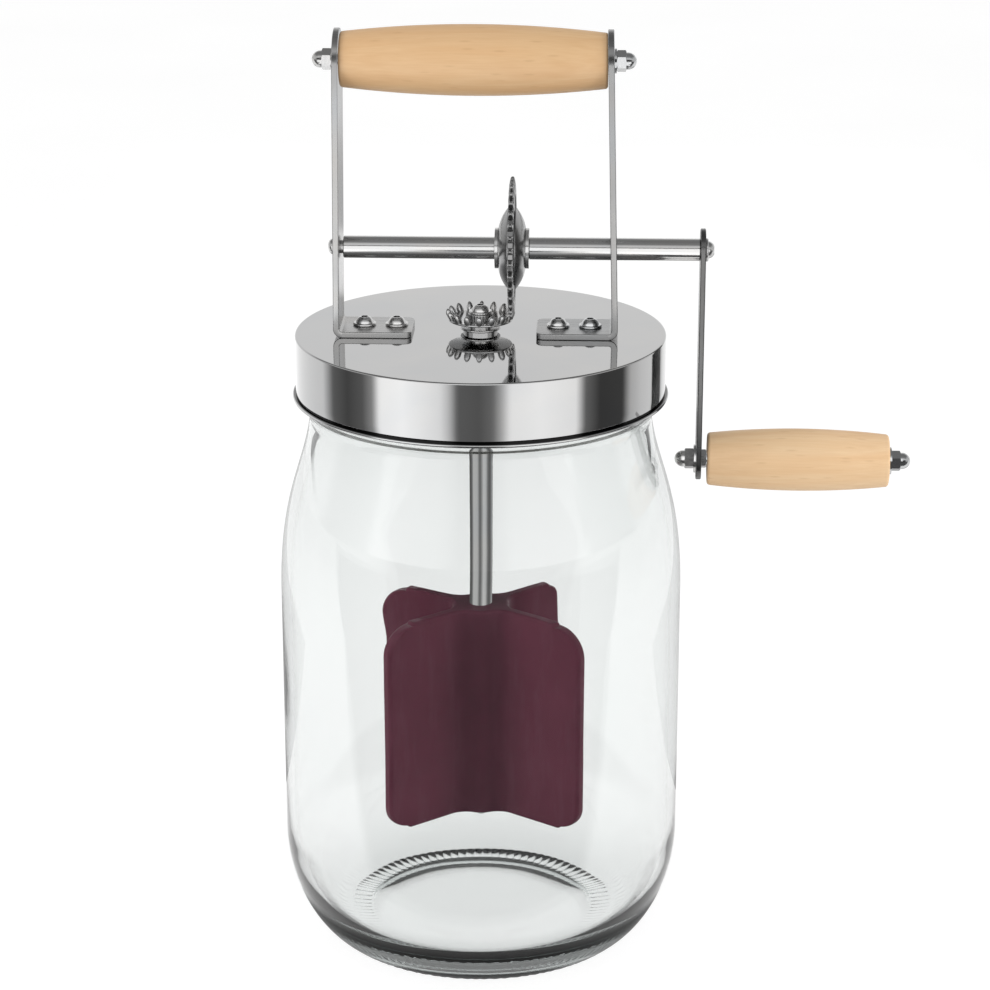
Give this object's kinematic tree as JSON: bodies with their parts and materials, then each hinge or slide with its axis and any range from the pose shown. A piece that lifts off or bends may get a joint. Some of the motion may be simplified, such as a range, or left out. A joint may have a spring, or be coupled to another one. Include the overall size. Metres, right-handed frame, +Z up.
{
  "type": "butter churn",
  "caption": "Hand-crank butter churn: glass jar, steel lid with a carrying frame and wooden grip, gear drive turning a vaned paddle.",
  "frame": {"origin": "where the jar's axis meets the surface that the churn stands on", "axes": "+Z up along the jar's axis, +X towards the side with the crank handle, -Y towards the front"},
  "size_m": [0.2417, 0.155, 0.3605],
  "materials": {
    "clear_glass": "clear, smooth moulded glass",
    "polished_steel": "polished stainless steel",
    "satin_steel": "satin stainless steel",
    "hardware_steel": "bright plated steel",
    "gear_steel": "machined steel",
    "beech": "sanded, thinly oiled beech",
    "paddle_plastic": "moulded, slight sheen",
    "liner_plastic": "moulded, natural white",
    "silicone": "matt translucent white"
  },
  "bodies": {
    "jar": {"glass_jar": "clear_glass"},
    "seal": {"sealing_ring": "silicone"},
    "lid": {"lid_shell": "polished_steel", "lid_liner": "liner_plastic", "shaft_bush": "hardware_steel", "bush_nut": "hardware_steel", "left_bracket": "satin_steel", "right_bracket": "satin_steel", "bracket_screws": "hardware_steel", "bracket_nuts": "hardware_steel", "carry_grip": "beech", "carry_rod": "hardware_steel", "carry_washers": "hardware_steel", "carry_cap_nuts": "hardware_steel"},
    "crank": {"crank_shaft": "hardware_steel", "left_shaft_tube": "polished_steel", "right_shaft_tube": "polished_steel", "drive_gear": "gear_steel", "left_gear_boss": "gear_steel", "right_gear_boss": "gear_steel", "boss_washers": "hardware_steel", "crank_end_screw": "hardware_steel", "crank_arm": "satin_steel", "crank_arm_screw": "hardware_steel", "grip_spindle": "hardware_steel", "spindle_lock_nut": "hardware_steel", "spindle_washers": "hardware_steel", "spindle_cap_nuts": "hardware_steel"},
    "handle": {"crank_grip": "beech"},
    "dasher": {"dasher_shaft": "polished_steel", "pinion": "gear_steel", "pinion_screw": "hardware_steel", "retaining_collar": "hardware_steel", "paddle": "paddle_plastic", "paddle_washer": "hardware_steel", "paddle_screw": "hardware_steel"}
  },
  "joints": [
    {"name": "lid_lift", "type": "slide", "parent": "jar", "child": "seal", "axis": [0, 0, 1], "range_m": [0, 0.24]},
    {"name": "lid_turn", "type": "hinge", "parent": "seal", "child": "lid", "pos_m": [0, 0, 0.24], "axis": [0, 0, 1], "range_deg": [0, 45]},
    {"name": "crank_spin", "type": "hinge", "parent": "lid", "child": "crank", "pos_m": [0, 0, 0.2765], "axis": [1, 0, 0], "continuous": true},
    {"name": "grip_spin", "type": "hinge", "parent": "crank", "child": "handle", "pos_m": [0.12125, 0, 0.1945], "axis": [1, 0, 0], "continuous": true},
    {"name": "dasher_spin", "type": "hinge", "parent": "lid", "child": "dasher", "pos_m": [0, 0, 0.244], "axis": [0, 0, 1], "continuous": true}
  ],
  "couplings": [
    {"joint": "dasher_spin", "follows": "crank_spin", "ratio": 2.125}
  ]
}
